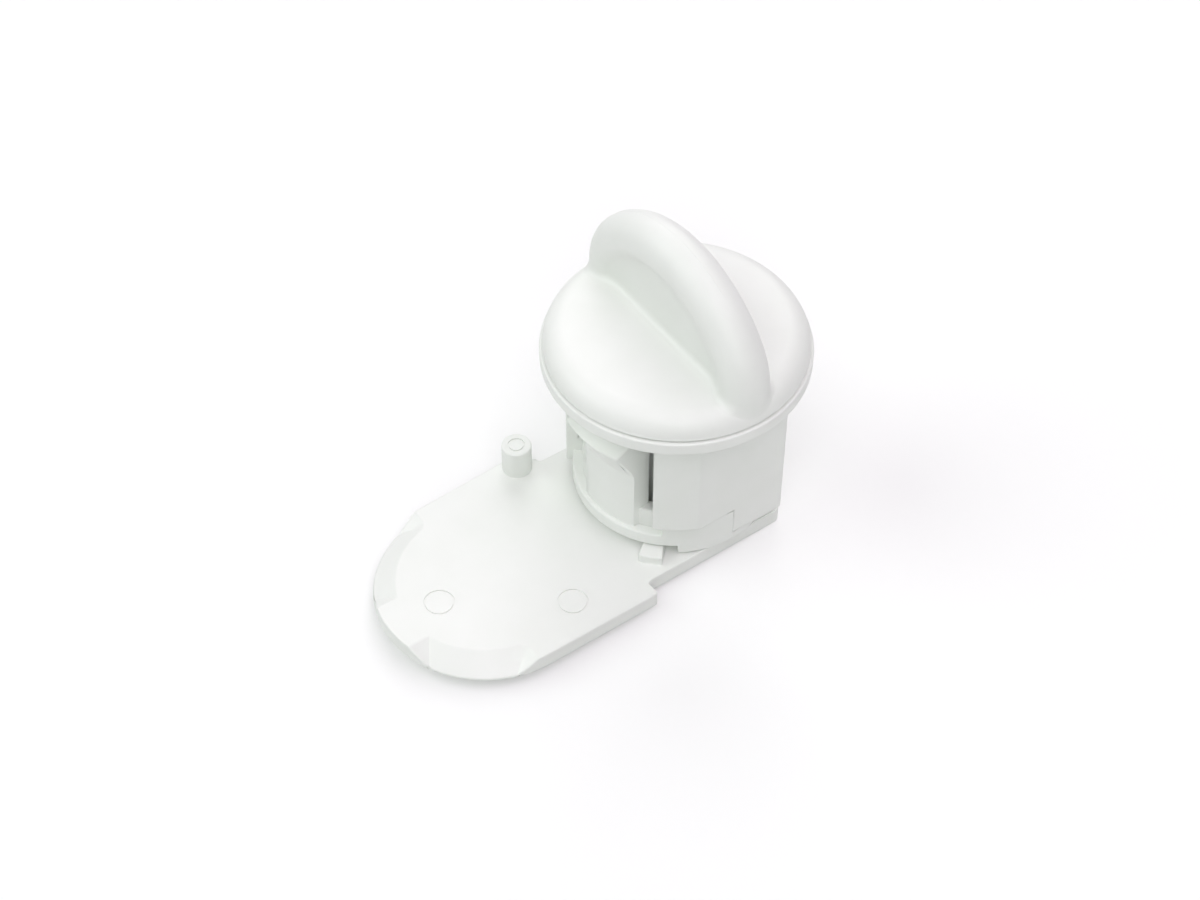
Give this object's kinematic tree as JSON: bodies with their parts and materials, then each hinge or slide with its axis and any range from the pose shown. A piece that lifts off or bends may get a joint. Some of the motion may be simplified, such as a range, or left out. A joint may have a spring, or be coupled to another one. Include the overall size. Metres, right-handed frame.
{
  "type": "quarter-turn thumb lock",
  "caption": "White plastic thumb lock: a knob with a half-moon grip turns a flat latch plate under a flanged, snap-in housing.",
  "frame": {"origin": "where the turning axis crosses the panel's front face, in the plane of the flange's underside", "axes": "+Z along the turning axis to the knob, -X along the latch plate to its tip, Y along the thumb grip"},
  "size_m": [0.0656, 0.0368, 0.049],
  "materials": {
    "white_plastic": "satin",
    "screw_steel": "zinc plated"
  },
  "bodies": {
    "housing": {"housing": "white_plastic"},
    "rotor": {"knob": "white_plastic", "latch_plate": "white_plastic", "retaining_screw": "screw_steel"}
  },
  "joints": [
    {"name": "latch_turn", "type": "hinge", "parent": "housing", "child": "rotor", "pos_m": [0, 0, 0], "axis": [0, 0, 1], "range_deg": [-92, 6.5]}
  ]
}
